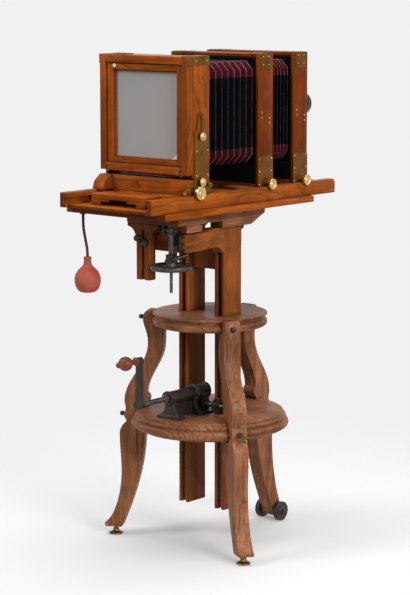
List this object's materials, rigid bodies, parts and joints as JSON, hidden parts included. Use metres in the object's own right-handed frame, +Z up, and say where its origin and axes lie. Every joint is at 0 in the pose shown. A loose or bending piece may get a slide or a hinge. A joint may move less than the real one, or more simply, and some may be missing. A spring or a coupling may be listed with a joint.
{
  "type": "studio camera",
  "caption": "Wooden bellows studio camera on a long tilting bed, carried by a crank-raised column in a three-legged stand with wheels and levelling feet.",
  "frame": {"origin": "on the floor, in the middle of the object", "axes": "+Y is the way the lens points, +X is the operator's right, +Z is up"},
  "size_m": [0.582, 0.9, 1.4725],
  "materials": {
    "stand_wood": "satin, dark brown varnish",
    "camera_wood": "satin, orange-brown polish",
    "handle_wood": "satin, turned",
    "iron": "worn black paint",
    "steel": "dull",
    "brass": "aged",
    "lacquered_brass": "dark lacquer",
    "black_metal": "matt black",
    "red_rubber": "dull, faded",
    "ground_glass": "ground on one side",
    "lens_glass": "polished",
    "bellows_leather": "matt"
  },
  "bodies": {
    "stand": {"leg_left": "stand_wood", "leg_right": "stand_wood", "leg_wheel": "stand_wood", "upper_plate": "stand_wood", "lower_plate": "stand_wood", "stand_bolts": "iron", "gear_bracket": "iron"},
    "left_foot": {"foot_left": "brass"},
    "right_foot": {"foot_right": "brass"},
    "left_wheel": {"wheel_left": "iron"},
    "right_wheel": {"wheel_right": "iron"},
    "column": {"posts": "stand_wood", "racks": "iron", "post_cross_rail": "stand_wood", "yoke_arms": "stand_wood", "yoke_front_board": "stand_wood", "yoke_irons": "iron", "lower_hinges": "iron"},
    "lift_gear": {"cross_shaft": "steel", "pinions": "iron", "worm_wheel": "brass"},
    "crank": {"crank_shaft": "steel", "worm": "steel", "crank_arm": "iron"},
    "handle": {"crank_handle": "handle_wood"},
    "wing_nut": {"guide_wing_nut": "iron"},
    "screw": {"tilt_screw": "steel"},
    "hand_wheel": {"handwheel": "iron"},
    "guide": {"tilt_guide": "stand_wood"},
    "bed": {"tilt_table": "stand_wood", "table_irons": "iron", "bed_board": "camera_wood", "bed_rails": "camera_wood", "focus_racks": "brass", "air_nipple": "brass", "air_hose": "red_rubber", "air_bulb": "red_rubber", "bellows_rear": "bellows_leather"},
    "rear_base": {"tailboard": "camera_wood", "rear_base_board": "camera_wood", "rear_straps": "brass"},
    "focus_drive": {"focus_shaft": "brass"},
    "base_clamp": {"base_knobs": "brass"},
    "rear_standard": {"rear_frame": "camera_wood", "rear_brass": "brass"},
    "rise_clamp": {"rise_knobs": "brass"},
    "screen": {"screen_frame": "camera_wood", "ground_glass": "ground_glass"},
    "middle_standard": {"middle_frame": "camera_wood", "middle_brass": "brass", "bellows_front": "bellows_leather"},
    "middle_clamp": {"middle_knobs": "brass"},
    "front_standard": {"front_frame": "camera_wood", "front_brass": "brass", "lens_board_panel": "camera_wood", "lens_barrel": "lacquered_brass", "lens_glasses": "lens_glass", "shutter_box": "black_metal"},
    "front_clamp": {"front_knobs": "brass"},
    "flap": {"shutter_flap": "black_metal"}
  },
  "joints": [
    {"name": "left_foot_turn", "type": "hinge", "parent": "stand", "child": "left_foot", "pos_m": [-0.25288, -0.146, 0.03], "axis": [0, 0, 1], "continuous": true},
    {"name": "right_foot_turn", "type": "hinge", "parent": "stand", "child": "right_foot", "pos_m": [0.25288, -0.146, 0.03], "axis": [0, 0, 1], "continuous": true},
    {"name": "left_wheel_roll", "type": "hinge", "parent": "stand", "child": "left_wheel", "pos_m": [-0.0365, 0.3, 0.03], "axis": [1, 0, 0], "continuous": true},
    {"name": "right_wheel_roll", "type": "hinge", "parent": "stand", "child": "right_wheel", "pos_m": [0.0365, 0.3, 0.03], "axis": [1, 0, 0], "continuous": true},
    {"name": "lift", "type": "slide", "parent": "stand", "child": "column", "axis": [0, 0, 1], "range_m": [-0.095, 0.28]},
    {"name": "lift_gear_turn", "type": "hinge", "parent": "stand", "child": "lift_gear", "pos_m": [0, -0.04816, 0.429], "axis": [1, 0, 0], "range_deg": [-280, 800]},
    {"name": "crank_turn", "type": "hinge", "parent": "stand", "child": "crank", "pos_m": [0, -0.314, 0.464], "axis": [0, 1, 0], "range_deg": [-2700, 7950]},
    {"name": "handle_spin", "type": "hinge", "parent": "crank", "child": "handle", "pos_m": [0, -0.35, 0.594], "axis": [0, 1, 0], "continuous": true},
    {"name": "wing_nut_turn", "type": "hinge", "parent": "column", "child": "wing_nut", "pos_m": [-0.05, -0.25, 0.933], "axis": [0, 1, 0], "range_deg": [0, 180]},
    {"name": "bed_tilt", "type": "hinge", "parent": "column", "child": "bed", "pos_m": [0, 0.05, 0.957], "axis": [-1, 0, 0], "range_deg": [0, 12]},
    {"name": "screw_rise", "type": "slide", "parent": "column", "child": "screw", "axis": [0, 0, 1], "range_m": [-0.001, 0.0605]},
    {"name": "handwheel_turn", "type": "hinge", "parent": "column", "child": "hand_wheel", "pos_m": [0.05, -0.23, 0.862], "axis": [0, 0, 1], "range_deg": [-2760, 10]},
    {"name": "guide_rise", "type": "slide", "parent": "column", "child": "guide", "axis": [0, 0, 1], "range_m": [-0.001, 0.0575]},
    {"name": "rear_focus", "type": "slide", "parent": "bed", "child": "rear_base", "axis": [0, 1, 0], "range_m": [-0.095, 0.05], "deforming": ["bellows_rear"]},
    {"name": "focus_knob_turn", "type": "hinge", "parent": "rear_base", "child": "focus_drive", "pos_m": [0, -0.26, 1.08795], "axis": [1, 0, 0], "range_deg": [-450, 750]},
    {"name": "base_clamp_turn", "type": "hinge", "parent": "rear_base", "child": "base_clamp", "pos_m": [0, -0.241, 1.117], "axis": [1, 0, 0], "range_deg": [-360, 360]},
    {"name": "rear_rise", "type": "slide", "parent": "rear_base", "child": "rear_standard", "axis": [0, 0, 1], "range_m": [0, 0.05]},
    {"name": "rise_clamp_turn", "type": "hinge", "parent": "rear_standard", "child": "rise_clamp", "pos_m": [0, -0.24, 1.245], "axis": [1, 0, 0], "range_deg": [-360, 360]},
    {"name": "screen_open", "type": "hinge", "parent": "rear_standard", "child": "screen", "pos_m": [0, -0.2864, 1.1434], "axis": [1, 0, 0], "range_deg": [0, 90]},
    {"name": "middle_slide", "type": "slide", "parent": "bed", "child": "middle_standard", "axis": [0, 1, 0], "range_m": [-0.045, 0.06]},
    {"name": "middle_clamp_turn", "type": "hinge", "parent": "middle_standard", "child": "middle_clamp", "pos_m": [0, 0.063, 1.089], "axis": [1, 0, 0], "range_deg": [-360, 360]},
    {"name": "front_slide", "type": "slide", "parent": "middle_standard", "child": "front_standard", "axis": [0, 1, 0], "range_m": [-0.03, 0.06], "deforming": ["bellows_front"]},
    {"name": "front_clamp_turn", "type": "hinge", "parent": "front_standard", "child": "front_clamp", "pos_m": [0, 0.227, 1.089], "axis": [1, 0, 0], "range_deg": [-360, 360]},
    {"name": "flap_open", "type": "hinge", "parent": "front_standard", "child": "flap", "pos_m": [0, 0.192, 1.3555], "axis": [-1, 0, 0], "range_deg": [0, 90]}
  ],
  "couplings": [
    {"joint": "lift_gear_turn", "follows": "lift", "rad_per_m": 49.383},
    {"joint": "crank_turn", "follows": "lift", "rad_per_m": 493.83},
    {"joint": "screw_rise", "follows": "bed_tilt", "m_per_rad": 0.286},
    {"joint": "guide_rise", "follows": "bed_tilt", "m_per_rad": 0.272},
    {"joint": "handwheel_turn", "follows": "bed_tilt", "ratio": -224.62},
    {"joint": "focus_knob_turn", "follows": "rear_focus", "rad_per_m": -125}
  ]
}
